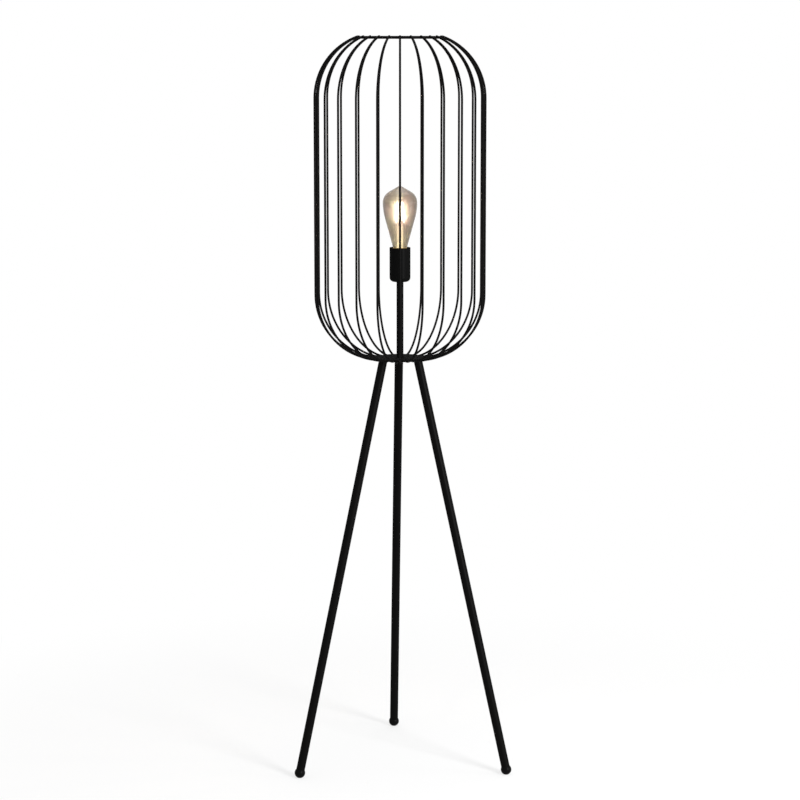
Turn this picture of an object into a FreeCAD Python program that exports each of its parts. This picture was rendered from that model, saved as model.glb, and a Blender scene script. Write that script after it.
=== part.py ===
import FreeCAD, Part
import math
import os

# Wire cage floor lamp: a cage of bent wires on a tripod, with a bulb holder on a stem inside the cage.
# Millimetres. The origin is on the floor, under the stem, in the middle of the three feet.
# +Z is up, the back leg points along +Y, the two front legs stand to the left (-X) and right (+X).

V = FreeCAD.Vector
UP = V(0, 0, 1)

# ---------------------------------------------------------------- cage
WIRE_COUNT = 24
WIRE_DIAMETER = 4.0
CAGE_RADIUS = 158.0             # from the axis to the centre of an upright wire
WIRE_STRAIGHT = 365.0           # upright run between the upper and the lower bend
MOUTH_RADIUS = 77.5             # centre line of the ring round the mouth
MOUTH_WIRE_DIAMETER = 5.0
WIRE_RISE_ON_RING = 2.0         # a wire's centre line ends this much above the ring's
CAGE_CLOCKING = -3.1            # degrees from the -Y line to the nearest wire, seen from above

# ---------------------------------------------------------------- plate under the cage
PLATE_RADIUS = 46.0
PLATE_THICKNESS = 4.0
PLATE_UNDERSIDE = 775.0         # height above the floor
RIM_INSET = 8.0                 # the lower bend would lie level this far inside the plate's rim
WIRE_DROP_AT_RIM = 1.0          # a level wire would lie this much below the middle of the plate
PLATE_EDGE_BREAK = 0.5

# ---------------------------------------------------------------- legs
LEG_NAMES = ("back", "left", "right")
FIRST_LEG_ANGLE = 90.0          # degrees, the back leg
LEG_DIAMETER = 16.0
LEG_WALL = 1.2
LEG_TOP_RADIUS = 37.5           # where a leg's centre line meets the underside of the plate
FOOT_CIRCLE_RADIUS = 224.0      # through the centres of the ball feet
BOSS_LENGTH = 14.0              # along the leg, on its centre line
STUD_DIAMETER = 8.0
STUD_IN_BOSS = 8.0
STUD_IN_LEG = 16.0
STUD_TIP_CHAMFER = 1.0
INSERT_LENGTH = 22.0

# ---------------------------------------------------------------- ball feet
FOOT_DIAMETER = 20.0
FOOT_FLAT_DIAMETER = 8.0        # the small flat that rests on the floor
SPIGOT_LENGTH = 18.0
SPIGOT_LEAD = 1.0

# ---------------------------------------------------------------- stem and its fixings
STEM_DIAMETER = 13.0
STEM_BORE = 9.0
STEM_LENGTH = 142.0
NIPPLE_DIAMETER = 10.0
NIPPLE_BORE = 7.0
NIPPLE_IN_STEM = 12.0
NIPPLE_BELOW_NUT = 3.0
NUT_ACROSS_FLATS = 14.0
NUT_HEIGHT = 4.0
WASHER_DIAMETER = 18.0
WASHER_THICKNESS = 1.0
BUSH_BORE = 5.0
BUSH_FLANGE_DIAMETER = 12.0
BUSH_FLANGE_THICKNESS = 1.5
BUSH_SPIGOT = 6.0

# ---------------------------------------------------------------- lampholder
SLEEVE_DIAMETER = 39.0
SLEEVE_HEIGHT = 64.0
SLEEVE_WALL = 1.0
SLEEVE_CORNER = 8.0             # outer radius of the drawn lower edge
CAP_HEIGHT = 13.0               # insulating cap that grips the nipple
CAP_FLOOR = 6.0
CAP_WALL = 2.0
BODY_RECESS = 2.0               # the insulating body ends this far below the sleeve's lip
BODY_WALL = 2.4
BLOCK_THICKNESS = 6.0           # contact block
SHELL_WALL = 0.4                # threaded shell of the holder
SHELL_RECESS = 2.0              # below the body's upper edge
LEAF_WIDTH = 6.0
LEAF_THICKNESS = 0.5
LEAF_LENGTH = 20.0
LEAF_RISE = 3.3                 # from the block to the pad under the bulb's tip
TERMINAL_SIZE = 6.0
TERMINAL_HEIGHT = 7.0
TERMINAL_SPREAD = 9.0           # from the axis to the middle of a terminal
TERMINAL_SCREW_DIAMETER = 3.0
TERMINAL_SCREW_HEAD = 4.6
TERMINAL_SCREW_HEAD_HEIGHT = 1.4

# ---------------------------------------------------------------- bulb
CAP_SHELL_DIAMETER = 26.4       # over the thread of the bulb's cap
CAP_SHELL_WALL = 0.4
CAP_SHELL_HEIGHT = 22.6
CAP_OVERALL = 26.6              # from the tip of the contact to the upper edge of the cap
CAP_SHOULDER = 4.0              # rounded lower end of the cap
CONTACT_DIAMETER = 9.0
CONTACT_HEIGHT = 1.2
INSULATOR_DIAMETER = 20.0
GLASS_DIAMETER = 64.0
GLASS_WALL = 0.9
GLASS_NECK_RADIUS = 13.4
GLASS_TAIL_RADIUS = 12.2        # the part of the neck that is cemented in the cap
GLASS_TAIL_LENGTH = 8.0
FLANK_ANGLE = 15.4              # degrees from upright
FLANK_BEND = 111.0
SHOULDER_BEND = 23.0
CROWN_SLOPE = 30.0              # degrees from level
TIP_BEND = 4.4
MOUNT_TUBE_RADIUS = 5.0         # the glass mount inside the bulb
MOUNT_TUBE_TOP = 66.0           # above the tip of the contact
MOUNT_ROD_RADIUS = 1.3
MOUNT_ROD_TOP = 118.0
FILAMENT_COUNT = 4
FILAMENT_RADIUS = 1.2
FILAMENT_LOW_RADIUS = 10.0
FILAMENT_HIGH_RADIUS = 6.0
FILAMENT_LOW = 74.0             # above the tip of the contact
FILAMENT_HIGH = 112.0
LEAD_WIRE_RADIUS = 0.35
HOOK_RISE = 3.0                 # from a filament's upper end to its hook on the rod

# ---------------------------------------------------------------- clearances
PRESS_GAP = 0.05                # per side, pieces pushed or screwed together for good
THREAD_GAP = 0.10               # per side, the bulb's thread in the holder's shell
HOLE_GAP = 0.25                 # per side, a nipple through a plain hole
CONTACT_GAP = 0.20              # bulb tip to contact leaf, as drawn
PIECE_GAP = 0.30                # between the bulb and what it does not touch

# ---------------------------------------------------------------- sizes that follow
PLATE_TOP = PLATE_UNDERSIDE + PLATE_THICKNESS
BEND_RADIUS = CAGE_RADIUS - (PLATE_RADIUS - RIM_INSET)
LOWER_BEND_CENTRE = PLATE_UNDERSIDE + PLATE_THICKNESS / 2 - WIRE_DROP_AT_RIM + BEND_RADIUS
UPPER_BEND_CENTRE = LOWER_BEND_CENTRE + WIRE_STRAIGHT
UPPER_TURN = math.acos(1 - (CAGE_RADIUS - MOUTH_RADIUS) / BEND_RADIUS)
MOUTH_HEIGHT = UPPER_BEND_CENTRE + BEND_RADIUS * math.sin(UPPER_TURN) - WIRE_RISE_ON_RING

LEG_RADIUS = LEG_DIAMETER / 2
LEG_BORE_RADIUS = LEG_RADIUS - LEG_WALL
FOOT_RADIUS = FOOT_DIAMETER / 2
FOOT_CENTRE_HEIGHT = math.sqrt(FOOT_RADIUS ** 2 - (FOOT_FLAT_DIAMETER / 2) ** 2)
FOOT_SHOULDER = math.sqrt(FOOT_RADIUS ** 2 - LEG_RADIUS ** 2)
LEG_RISE = PLATE_UNDERSIDE - FOOT_CENTRE_HEIGHT
LEG_SPREAD = FOOT_CIRCLE_RADIUS - LEG_TOP_RADIUS
LEG_LENGTH = math.hypot(LEG_RISE, LEG_SPREAD)
LEG_TUBE_TOP = LEG_LENGTH - BOSS_LENGTH

STEM_TOP = PLATE_TOP + STEM_LENGTH
NIPPLE_RADIUS = NIPPLE_DIAMETER / 2
SLEEVE_RADIUS = SLEEVE_DIAMETER / 2
SLEEVE_FLOOR = STEM_TOP + SLEEVE_WALL
SLEEVE_TOP = STEM_TOP + SLEEVE_HEIGHT
BODY_RADIUS = SLEEVE_RADIUS - SLEEVE_WALL - PRESS_GAP
BODY_BORE = BODY_RADIUS - BODY_WALL
BODY_TOP = SLEEVE_TOP - BODY_RECESS
CAP_RADIUS = BODY_RADIUS - SLEEVE_CORNER / 2
CAP_TOP = SLEEVE_FLOOR + CAP_HEIGHT
SHELL_INNER = CAP_SHELL_DIAMETER / 2 + THREAD_GAP
SHELL_OUTER = SHELL_INNER + SHELL_WALL
SHELL_TOP = BODY_TOP - SHELL_RECESS
BULB_SEAT = SLEEVE_TOP - CAP_OVERALL
LEAF_TOP = BULB_SEAT - CONTACT_GAP
BLOCK_TOP = LEAF_TOP - LEAF_RISE
BLOCK_BOTTOM = BLOCK_TOP - BLOCK_THICKNESS


# ---------------------------------------------------------------- helpers
def cylinder(radius, bottom, top):
    return Part.makeCylinder(radius, top - bottom, V(0, 0, bottom))


def ring(outer, inner, bottom, top):
    return cylinder(outer, bottom, top).cut(cylinder(inner, bottom, top))


def at(radius, height):
    """A point of a turned outline: its distance from the axis and its height."""
    return V(radius, 0, height)


def line(start, end):
    return Part.LineSegment(start, end).toShape()


def arc(start, middle, end):
    return Part.Arc(start, middle, end).toShape()


def swing(centre, radius, degrees):
    """The point of an outline at an angle round a centre, counted up from level."""
    angle = math.radians(degrees)
    return centre + V(radius * math.cos(angle), 0, radius * math.sin(angle))


def turned(edges):
    """A solid of revolution about the Z axis from a closed outline."""
    face = Part.Face(Part.Wire(Part.__sortEdges__(edges)))
    return face.revolve(V(0, 0, 0), UP, 360)


def polygon(points):
    return [line(a, b) for a, b in zip(points, points[1:] + points[:1])]


def round_bar(start, end, radius):
    along = end - start
    return Part.makeCylinder(radius, along.Length, start, along)


def swept(edges, radius):
    """A round wire along a path of tangent edges."""
    path = Part.Wire(edges)
    first = path.Edges[0]
    start = first.valueAt(first.FirstParameter)
    heading = first.tangentAt(first.FirstParameter)
    section = Part.Wire(Part.Circle(start, heading, radius).toShape())
    return path.makePipeShell([section], True, False)


def spun(shape, degrees):
    copy = shape.copy()
    copy.rotate(V(0, 0, 0), UP, degrees)
    return copy


def hex_nut(bottom):
    corner = NUT_ACROSS_FLATS / math.sqrt(3)
    points = []
    for k in range(6):
        angle = math.radians(60 * k + 30)
        points.append(V(corner * math.cos(angle), corner * math.sin(angle), bottom))
    blank = Part.Face(Part.makePolygon(points + points[:1])).extrude(V(0, 0, NUT_HEIGHT))
    bevel = corner - NUT_ACROSS_FLATS / 2
    top = bottom + NUT_HEIGHT
    crown = turned(polygon([
        at(0, bottom), at(corner - bevel, bottom), at(corner, bottom + bevel / 2),
        at(corner, top - bevel / 2), at(corner - bevel, top), at(0, top),
    ]))
    return blank.common(crown).cut(cylinder(NIPPLE_RADIUS + PRESS_GAP, bottom, top))


# ---------------------------------------------------------------- cage pieces
def mouth_ring():
    return Part.makeTorus(MOUTH_RADIUS, MOUTH_WIRE_DIAMETER / 2, V(0, 0, MOUTH_HEIGHT), UP)


def cage_wire():
    """One wire in the XZ plane: upper bend, upright run, lower bend.

    Its upper end is coped over the mouth ring and its lower end against the plate's rim,
    so both ends seat on what they are welded to.
    """
    upper = at(CAGE_RADIUS - BEND_RADIUS, UPPER_BEND_CENTRE)
    lower = at(CAGE_RADIUS - BEND_RADIUS, LOWER_BEND_CENTRE)
    turn = math.degrees(UPPER_TURN)
    upper_end = swing(upper, BEND_RADIUS, turn)
    upper_start = swing(upper, BEND_RADIUS, 0)
    lower_start = swing(lower, BEND_RADIUS, 0)
    lower_end = swing(lower, BEND_RADIUS, -90)
    wire = swept([
        arc(upper_end, swing(upper, BEND_RADIUS, turn / 2), upper_start),
        line(upper_start, lower_start),
        arc(lower_start, swing(lower, BEND_RADIUS, -45), lower_end),
    ], WIRE_DIAMETER / 2)
    rim = cylinder(PLATE_RADIUS, PLATE_UNDERSIDE - WIRE_DIAMETER, PLATE_TOP + WIRE_DIAMETER)
    return wire.cut(rim).cut(mouth_ring())


def base_plate():
    hole = NIPPLE_RADIUS + HOLE_GAP
    edge = PLATE_RADIUS - PLATE_EDGE_BREAK
    return turned(polygon([
        at(hole, PLATE_UNDERSIDE), at(edge, PLATE_UNDERSIDE),
        at(PLATE_RADIUS, PLATE_UNDERSIDE + PLATE_EDGE_BREAK), at(PLATE_RADIUS, PLATE_TOP - PLATE_EDGE_BREAK),
        at(edge, PLATE_TOP), at(hole, PLATE_TOP),
    ]))


# ---------------------------------------------------------------- leg pieces
# A leg is made standing up, with the centre of its ball foot at the origin, and then leant in.
def placed_on_leg(shape, index):
    lean = math.degrees(math.atan2(LEG_SPREAD, LEG_RISE))
    leg = shape.copy()
    leg.rotate(V(0, 0, 0), V(0, 1, 0), -lean)
    leg.translate(V(FOOT_CIRCLE_RADIUS, 0, FOOT_CENTRE_HEIGHT))
    leg.rotate(V(0, 0, 0), UP, FIRST_LEG_ANGLE + 360 / len(LEG_NAMES) * index)
    return leg


def leg_tube(index):
    return placed_on_leg(ring(LEG_RADIUS, LEG_BORE_RADIUS, FOOT_SHOULDER, LEG_TUBE_TOP), index)


def leg_insert(index):
    """The threaded plug in the upper end of a leg."""
    plug = ring(LEG_BORE_RADIUS - PRESS_GAP, STUD_DIAMETER / 2 + PRESS_GAP,
                LEG_TUBE_TOP - INSERT_LENGTH, LEG_TUBE_TOP)
    return placed_on_leg(plug, index)


def leg_boss(index):
    """The slanted stub under the plate that a leg screws up against."""
    reach = LEG_LENGTH + LEG_DIAMETER
    stub = cylinder(LEG_RADIUS, LEG_TUBE_TOP, reach)
    stub = stub.cut(cylinder(STUD_DIAMETER / 2 + PRESS_GAP, LEG_TUBE_TOP, LEG_TUBE_TOP + STUD_IN_BOSS))
    below = Part.makeBox(4 * CAGE_RADIUS, 4 * CAGE_RADIUS, PLATE_UNDERSIDE,
                         V(-2 * CAGE_RADIUS, -2 * CAGE_RADIUS, 0))
    return placed_on_leg(stub, index).common(below)


def leg_stud(index):
    bottom = LEG_TUBE_TOP - STUD_IN_LEG
    top = LEG_TUBE_TOP + STUD_IN_BOSS
    radius = STUD_DIAMETER / 2
    rod = turned(polygon([
        at(0, bottom), at(radius - STUD_TIP_CHAMFER, bottom), at(radius, bottom + STUD_TIP_CHAMFER),
        at(radius, top - STUD_TIP_CHAMFER), at(radius - STUD_TIP_CHAMFER, top), at(0, top),
    ]))
    return placed_on_leg(rod, index)


def ball_foot(index):
    """A moulded ball with a shoulder for the tube, a spigot up inside it and a flat underneath."""
    spigot = LEG_BORE_RADIUS - PRESS_GAP
    spigot_top = FOOT_SHOULDER + SPIGOT_LENGTH
    origin = V(0, 0, 0)
    shoulder_angle = math.degrees(math.asin(FOOT_SHOULDER / FOOT_RADIUS))
    foot = turned([
        arc(at(0, -FOOT_RADIUS), swing(origin, FOOT_RADIUS, (shoulder_angle - 90) / 2),
            at(LEG_RADIUS, FOOT_SHOULDER)),
        line(at(LEG_RADIUS, FOOT_SHOULDER), at(spigot, FOOT_SHOULDER)),
        line(at(spigot, FOOT_SHOULDER), at(spigot, spigot_top - SPIGOT_LEAD)),
        line(at(spigot, spigot_top - SPIGOT_LEAD), at(spigot - SPIGOT_LEAD, spigot_top)),
        line(at(spigot - SPIGOT_LEAD, spigot_top), at(0, spigot_top)),
        line(at(0, spigot_top), at(0, -FOOT_RADIUS)),
    ])
    floor = Part.makeBox(4 * FOOT_CIRCLE_RADIUS, 4 * FOOT_CIRCLE_RADIUS, FOOT_RADIUS,
                         V(-2 * FOOT_CIRCLE_RADIUS, -2 * FOOT_CIRCLE_RADIUS, -FOOT_RADIUS))
    return placed_on_leg(foot, index).cut(floor)


# ---------------------------------------------------------------- stem pieces
def stem_tube():
    socket = NIPPLE_RADIUS + PRESS_GAP
    tube = ring(STEM_DIAMETER / 2, STEM_BORE / 2, PLATE_TOP, STEM_TOP)
    tube = tube.cut(cylinder(socket, PLATE_TOP, PLATE_TOP + NIPPLE_IN_STEM + PRESS_GAP))
    return tube.cut(cylinder(socket, STEM_TOP - NIPPLE_IN_STEM - PRESS_GAP, STEM_TOP))


LOWER_NUT_BOTTOM = PLATE_UNDERSIDE - WASHER_THICKNESS - NUT_HEIGHT
LOWER_NIPPLE_BOTTOM = LOWER_NUT_BOTTOM - NIPPLE_BELOW_NUT


def lower_nipple():
    return ring(NIPPLE_RADIUS, NIPPLE_BORE / 2, LOWER_NIPPLE_BOTTOM, PLATE_TOP + NIPPLE_IN_STEM)


def lower_washer():
    return ring(WASHER_DIAMETER / 2, NIPPLE_RADIUS + PRESS_GAP,
                PLATE_UNDERSIDE - WASHER_THICKNESS, PLATE_UNDERSIDE)


def inlet_bush():
    """The plastic bush in the mouth of the lower nipple, where the flex comes in."""
    flange_top = LOWER_NIPPLE_BOTTOM
    flange = cylinder(BUSH_FLANGE_DIAMETER / 2, flange_top - BUSH_FLANGE_THICKNESS, flange_top)
    spigot = cylinder(NIPPLE_BORE / 2 - PRESS_GAP, flange_top, flange_top + BUSH_SPIGOT)
    bore = cylinder(BUSH_BORE / 2, flange_top - BUSH_FLANGE_THICKNESS, flange_top + BUSH_SPIGOT)
    return flange.fuse(spigot).cut(bore).removeSplitter()


def upper_nipple():
    return ring(NIPPLE_RADIUS, NIPPLE_BORE / 2, STEM_TOP - NIPPLE_IN_STEM, SLEEVE_FLOOR + CAP_FLOOR)


# ---------------------------------------------------------------- lampholder pieces
def holder_sleeve():
    """The drawn metal cup that covers the holder."""
    inner = SLEEVE_RADIUS - SLEEVE_WALL
    inner_corner = SLEEVE_CORNER - SLEEVE_WALL
    centre = at(SLEEVE_RADIUS - SLEEVE_CORNER, STEM_TOP + SLEEVE_CORNER)
    hole = NIPPLE_RADIUS + HOLE_GAP
    outer_low = swing(centre, SLEEVE_CORNER, -90)
    outer_side = swing(centre, SLEEVE_CORNER, 0)
    inner_low = swing(centre, inner_corner, -90)
    inner_side = swing(centre, inner_corner, 0)
    lip = SLEEVE_TOP - SLEEVE_WALL / 2
    lip_middle = at(SLEEVE_RADIUS - SLEEVE_WALL / 2, SLEEVE_TOP)
    return turned([
        line(at(hole, STEM_TOP), outer_low),
        arc(outer_low, swing(centre, SLEEVE_CORNER, -45), outer_side),
        line(outer_side, at(SLEEVE_RADIUS, lip)),
        arc(at(SLEEVE_RADIUS, lip), lip_middle, at(inner, lip)),
        line(at(inner, lip), inner_side),
        arc(inner_side, swing(centre, inner_corner, -45), inner_low),
        line(inner_low, at(hole, SLEEVE_FLOOR)),
        line(at(hole, SLEEVE_FLOOR), at(hole, STEM_TOP)),
    ])


def holder_cap():
    """The insulating cap that screws on the nipple and clamps the sleeve to the stem."""
    bore = NIPPLE_RADIUS + PRESS_GAP
    seat = SLEEVE_RADIUS - SLEEVE_CORNER        # the flat of the sleeve's floor
    chamber = CAP_RADIUS - CAP_WALL
    chamber_floor = SLEEVE_FLOOR + CAP_FLOOR
    return turned(polygon([
        at(bore, SLEEVE_FLOOR), at(seat, SLEEVE_FLOOR), at(CAP_RADIUS, SLEEVE_FLOOR + CAP_RADIUS - seat),
        at(CAP_RADIUS, CAP_TOP), at(chamber, CAP_TOP), at(chamber, chamber_floor),
        at(bore, chamber_floor),
    ]))


def holder_body():
    """The insulating skirt that carries the contact block and the threaded shell."""
    body = ring(BODY_RADIUS, BODY_BORE, CAP_TOP, BODY_TOP)
    ledge = ring(BODY_BORE, CAP_RADIUS - CAP_WALL, CAP_TOP, BLOCK_BOTTOM)
    seat = ring(BODY_BORE, SHELL_OUTER + PRESS_GAP, BLOCK_TOP, SHELL_TOP)
    return body.fuse(ledge).fuse(seat).removeSplitter()


def contact_block():
    """The ceramic block between the terminals and the contacts."""
    block = cylinder(BODY_BORE - PRESS_GAP, BLOCK_BOTTOM, BLOCK_TOP)
    for side in (-1, 1):
        rivet_hole = Part.makeCylinder(
            TERMINAL_SCREW_DIAMETER / 2 + PRESS_GAP, BLOCK_THICKNESS,
            V(side * TERMINAL_SPREAD, 0, BLOCK_BOTTOM))
        block = block.cut(rivet_hole)
    return block


def threaded_shell():
    return ring(SHELL_OUTER, SHELL_INNER, BLOCK_TOP, SHELL_TOP)


def centre_contact():
    """The sprung leaf: a foot on the block, a slope and the pad under the bulb's tip."""
    foot_top = BLOCK_TOP + LEAF_THICKNESS
    foot_end = -TERMINAL_SPREAD - LEAF_WIDTH / 2 + LEAF_THICKNESS
    slope_start = -CONTACT_DIAMETER / 2 - (LEAF_TOP - foot_top)
    pad_start = -CONTACT_DIAMETER / 4
    pad_end = foot_end + LEAF_LENGTH - LEAF_WIDTH
    outline = [
        at(foot_end, BLOCK_TOP), at(slope_start + LEAF_THICKNESS / 2, BLOCK_TOP),
        at(pad_start + LEAF_THICKNESS / 2, LEAF_TOP - LEAF_THICKNESS),
        at(pad_end, LEAF_TOP - LEAF_THICKNESS), at(pad_end, LEAF_TOP),
        at(pad_start, LEAF_TOP), at(slope_start, foot_top), at(foot_end, foot_top),
    ]
    leaf = Part.Face(Part.Wire(polygon(outline))).extrude(V(0, LEAF_WIDTH, 0))
    leaf.translate(V(0, -LEAF_WIDTH / 2, 0))
    return leaf


def terminals():
    """The two brass clamp blocks under the contact block."""
    blocks = []
    for side in (-1, 1):
        corner = V(side * TERMINAL_SPREAD - TERMINAL_SIZE / 2, -TERMINAL_SIZE / 2,
                   BLOCK_BOTTOM - TERMINAL_HEIGHT)
        block = Part.makeBox(TERMINAL_SIZE, TERMINAL_SIZE, TERMINAL_HEIGHT, corner)
        screw_hole = Part.makeCylinder(
            TERMINAL_SCREW_DIAMETER / 2 + PRESS_GAP, TERMINAL_HEIGHT,
            V(side * TERMINAL_SPREAD, 0, BLOCK_BOTTOM - TERMINAL_HEIGHT))
        blocks.append(block.cut(screw_hole))
    return Part.makeCompound(blocks)


def terminal_screws():
    screws = []
    for side in (-1, 1):
        head_bottom = V(side * TERMINAL_SPREAD, 0,
                        BLOCK_BOTTOM - TERMINAL_HEIGHT - TERMINAL_SCREW_HEAD_HEIGHT)
        shank_length = TERMINAL_SCREW_HEAD_HEIGHT + TERMINAL_HEIGHT + BLOCK_THICKNESS / 2
        head = Part.makeCylinder(TERMINAL_SCREW_HEAD / 2, TERMINAL_SCREW_HEAD_HEIGHT, head_bottom)
        shank = Part.makeCylinder(TERMINAL_SCREW_DIAMETER / 2, shank_length, head_bottom)
        screws.append(head.fuse(shank).removeSplitter())
    return Part.makeCompound(screws)


# ---------------------------------------------------------------- bulb pieces
CAP_SHELL_TOP = BULB_SEAT + CAP_OVERALL
CAP_SHELL_BOTTOM = CAP_SHELL_TOP - CAP_SHELL_HEIGHT
GLASS_RADIUS = GLASS_DIAMETER / 2
INSULATOR_BOTTOM = BULB_SEAT + CONTACT_HEIGHT


def glass_outline(inset):
    """The bulb's outline from the neck to the tip, or the parallel one a wall's thickness inside."""
    neck = GLASS_NECK_RADIUS - inset
    tail = GLASS_TAIL_RADIUS - inset
    neck_low = CAP_SHELL_TOP + GLASS_NECK_RADIUS - GLASS_TAIL_RADIUS     # a flare of 45 degrees
    flank_rise = (GLASS_RADIUS - FLANK_BEND * (1 - math.cos(math.radians(FLANK_ANGLE)))
                  - GLASS_NECK_RADIUS) / math.tan(math.radians(FLANK_ANGLE))
    widest = neck_low + flank_rise + FLANK_BEND * math.sin(math.radians(FLANK_ANGLE))
    flank = at(GLASS_RADIUS - FLANK_BEND, widest)
    shoulder = at(GLASS_RADIUS - SHOULDER_BEND, widest)
    bend = FLANK_BEND - inset
    flank_top = swing(flank, bend, -FLANK_ANGLE)
    flank_low = at(neck, flank_top.z - (flank_top.x - neck) / math.tan(math.radians(FLANK_ANGLE)))
    side = swing(shoulder, SHOULDER_BEND - inset, 0)
    crown_angle = 90 - CROWN_SLOPE
    crown_low = swing(shoulder, SHOULDER_BEND - inset, crown_angle)
    slope = math.tan(math.radians(CROWN_SLOPE))
    outer_low = swing(shoulder, SHOULDER_BEND, crown_angle)
    outer_tip = TIP_BEND * math.sin(math.radians(CROWN_SLOPE))
    tip_centre = at(0, outer_low.z + (outer_low.x - outer_tip) * slope
                    - TIP_BEND * math.cos(math.radians(CROWN_SLOPE)))
    crown_top = swing(tip_centre, TIP_BEND - inset, crown_angle)
    tip = swing(tip_centre, TIP_BEND - inset, 90)
    return [
        line(at(tail, CAP_SHELL_TOP - GLASS_TAIL_LENGTH), at(tail, CAP_SHELL_TOP)),
        line(at(tail, CAP_SHELL_TOP), flank_low),
        line(flank_low, flank_top),
        arc(flank_top, swing(flank, bend, -FLANK_ANGLE / 2), side),
        arc(side, swing(shoulder, SHOULDER_BEND - inset, crown_angle / 2), crown_low),
        line(crown_low, crown_top),
        arc(crown_top, swing(tip_centre, TIP_BEND - inset, (crown_angle + 90) / 2), tip),
    ]


def bulb_glass():
    outer = glass_outline(0)
    inner = glass_outline(GLASS_WALL)
    outer_foot = outer[0].firstVertex().Point
    inner_foot = inner[0].firstVertex().Point
    outer_tip = outer[-1].lastVertex().Point
    inner_tip = inner[-1].lastVertex().Point
    return turned(outer + inner + [line(outer_foot, inner_foot), line(outer_tip, inner_tip)])


def bulb_cap():
    """The screw cap: a thin cup, rounded in below to hold the insulator."""
    outer = CAP_SHELL_DIAMETER / 2
    inner = outer - CAP_SHELL_WALL
    neck = INSULATOR_DIAMETER / 2
    return turned(polygon([
        at(neck, CAP_SHELL_BOTTOM), at(outer, CAP_SHELL_BOTTOM + CAP_SHOULDER),
        at(outer, CAP_SHELL_TOP), at(inner, CAP_SHELL_TOP),
        at(inner, CAP_SHELL_BOTTOM + CAP_SHOULDER + CAP_SHELL_WALL / 2),
        at(neck - CAP_SHELL_WALL, CAP_SHELL_BOTTOM + CAP_SHELL_WALL),
        at(neck - CAP_SHELL_WALL, CAP_SHELL_BOTTOM),
    ]))


def bulb_insulator():
    """The glass cone between the cap and the tip contact."""
    wide = INSULATOR_DIAMETER / 2 - CAP_SHELL_WALL - PRESS_GAP
    narrow = CONTACT_DIAMETER / 2
    return turned(polygon([
        at(0, INSULATOR_BOTTOM), at(narrow, INSULATOR_BOTTOM), at(wide, CAP_SHELL_BOTTOM),
        at(wide, CAP_SHELL_BOTTOM + CAP_SHELL_WALL), at(0, CAP_SHELL_BOTTOM + CAP_SHELL_WALL),
    ]))


def bulb_contact():
    """The solder pad at the tip, domed underneath."""
    pad = CONTACT_DIAMETER / 2
    rise = CONTACT_HEIGHT / 2
    dome = (pad ** 2 + rise ** 2) / (2 * rise)
    centre = at(0, BULB_SEAT + dome)
    edge_angle = math.degrees(math.asin(pad / dome)) - 90
    edge = swing(centre, dome, edge_angle)
    return turned([
        arc(at(0, BULB_SEAT), swing(centre, dome, (edge_angle - 90) / 2), edge),
        line(edge, at(pad, INSULATOR_BOTTOM)),
        line(at(pad, INSULATOR_BOTTOM), at(0, INSULATOR_BOTTOM)),
        line(at(0, INSULATOR_BOTTOM), at(0, BULB_SEAT)),
    ])


def bulb_mount():
    """The glass mount: a flare in the neck, a tube, the pinch and a rod for the top of the filaments."""
    flare = GLASS_TAIL_RADIUS - GLASS_WALL - PRESS_GAP
    foot = CAP_SHELL_TOP - GLASS_TAIL_LENGTH
    tube_top = BULB_SEAT + MOUNT_TUBE_TOP
    rod_top = BULB_SEAT + MOUNT_ROD_TOP
    pinch = MOUNT_TUBE_RADIUS
    return turned(polygon([
        at(0, foot + GLASS_WALL), at(flare - GLASS_WALL, foot), at(flare, foot),
        at(MOUNT_TUBE_RADIUS, foot + flare), at(pinch, tube_top - pinch),
        at(MOUNT_ROD_RADIUS, tube_top), at(MOUNT_ROD_RADIUS, rod_top), at(0, rod_top),
    ]))


def filament_ends(index):
    angle = math.radians(360 / FILAMENT_COUNT * (index + 0.5))
    out = V(math.cos(angle), math.sin(angle), 0)
    low = out * FILAMENT_LOW_RADIUS + V(0, 0, BULB_SEAT + FILAMENT_LOW)
    high = out * FILAMENT_HIGH_RADIUS + V(0, 0, BULB_SEAT + FILAMENT_HIGH)
    return low, high


def bulb_filaments():
    rods = []
    for index in range(FILAMENT_COUNT):
        low, high = filament_ends(index)
        rods.append(round_bar(low, high, FILAMENT_RADIUS))
    return Part.makeCompound(rods)


def bulb_lead_wires():
    """The wires that hold each filament: one from the pinch below, one from the rod above."""
    wires = []
    for index in range(FILAMENT_COUNT):
        low, high = filament_ends(index)
        out = V(low.x, low.y, 0).normalize()
        along = (high - low).normalize()
        foot = out * (MOUNT_TUBE_RADIUS + LEAD_WIRE_RADIUS + PRESS_GAP)
        foot.z = BULB_SEAT + MOUNT_TUBE_TOP - MOUNT_TUBE_RADIUS
        hook = out * (MOUNT_ROD_RADIUS + LEAD_WIRE_RADIUS + PRESS_GAP)
        hook.z = high.z + HOOK_RISE
        wires.append(round_bar(foot, low - along * LEAD_WIRE_RADIUS, LEAD_WIRE_RADIUS))
        wires.append(round_bar(hook, high + along * LEAD_WIRE_RADIUS, LEAD_WIRE_RADIUS))
    return Part.makeCompound(wires)


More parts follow.
